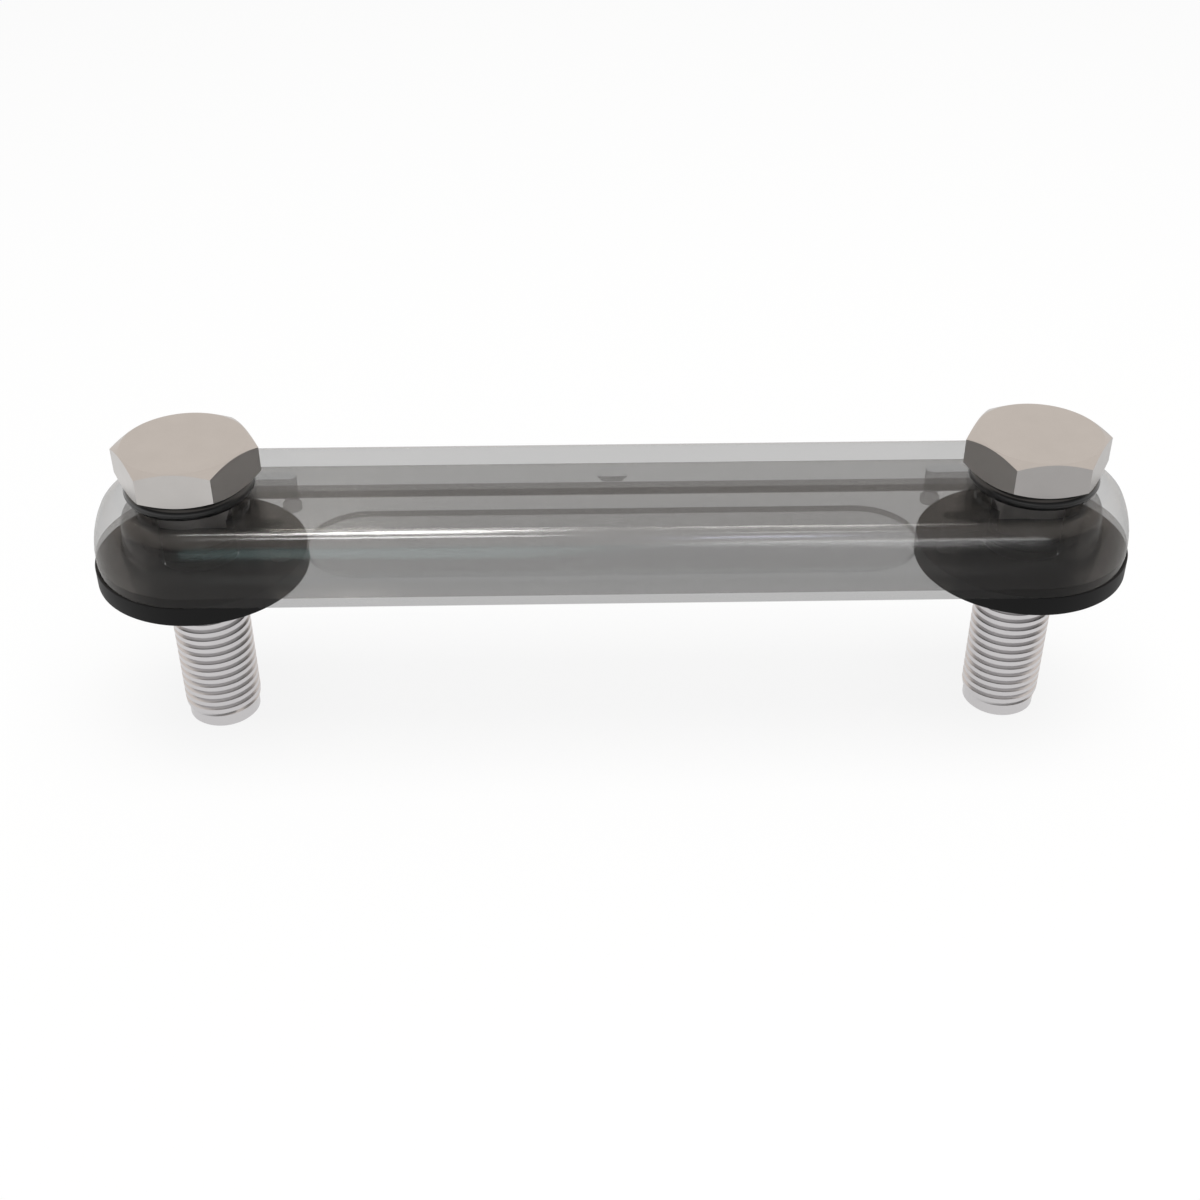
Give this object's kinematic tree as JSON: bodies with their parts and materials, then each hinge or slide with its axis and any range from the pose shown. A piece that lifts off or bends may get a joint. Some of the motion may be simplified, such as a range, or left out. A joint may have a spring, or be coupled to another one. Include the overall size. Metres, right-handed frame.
{
  "type": "hydraulic level gauge",
  "caption": "Clear liquid level gauge for the outside of a hydraulic tank: a long sight body sealed by a back plate and clamped by hollow hex screws over round gaskets.",
  "frame": {"origin": "on the tank wall's face, midway between the two screw axes, at the underside of the flat gaskets", "axes": "+X along the gauge from screw to screw, +Z out of the wall along the screw axes towards the viewer, +Y across the gauge towards the side with the level mark"},
  "size_m": [0.1586, 0.0324, 0.0493],
  "materials": {
    "clear_body": "clear moulded, polished",
    "clear_plate": "clear moulded, polished",
    "clear_strip": "clear, polished",
    "plated_steel": "bright plated, turned",
    "black_rubber": "moulded, satin"
  },
  "bodies": {
    "gauge": {"sight_body": "clear_body", "back_plate": "clear_plate", "back_strip": "clear_strip", "head_o_ring_left": "black_rubber", "head_o_ring_right": "black_rubber", "flat_gasket_left": "black_rubber", "flat_gasket_right": "black_rubber"},
    "screw_left": {"hollow_screw_left": "plated_steel"},
    "screw_right": {"hollow_screw_right": "plated_steel"}
  },
  "joints": [
    {"name": "screw_left_turn", "type": "hinge", "parent": "gauge", "child": "screw_left", "pos_m": [-0.0635, 0, 0], "axis": [0, 0, 1], "continuous": true},
    {"name": "screw_right_turn", "type": "hinge", "parent": "gauge", "child": "screw_right", "pos_m": [0.0635, 0, 0], "axis": [0, 0, 1], "continuous": true}
  ]
}
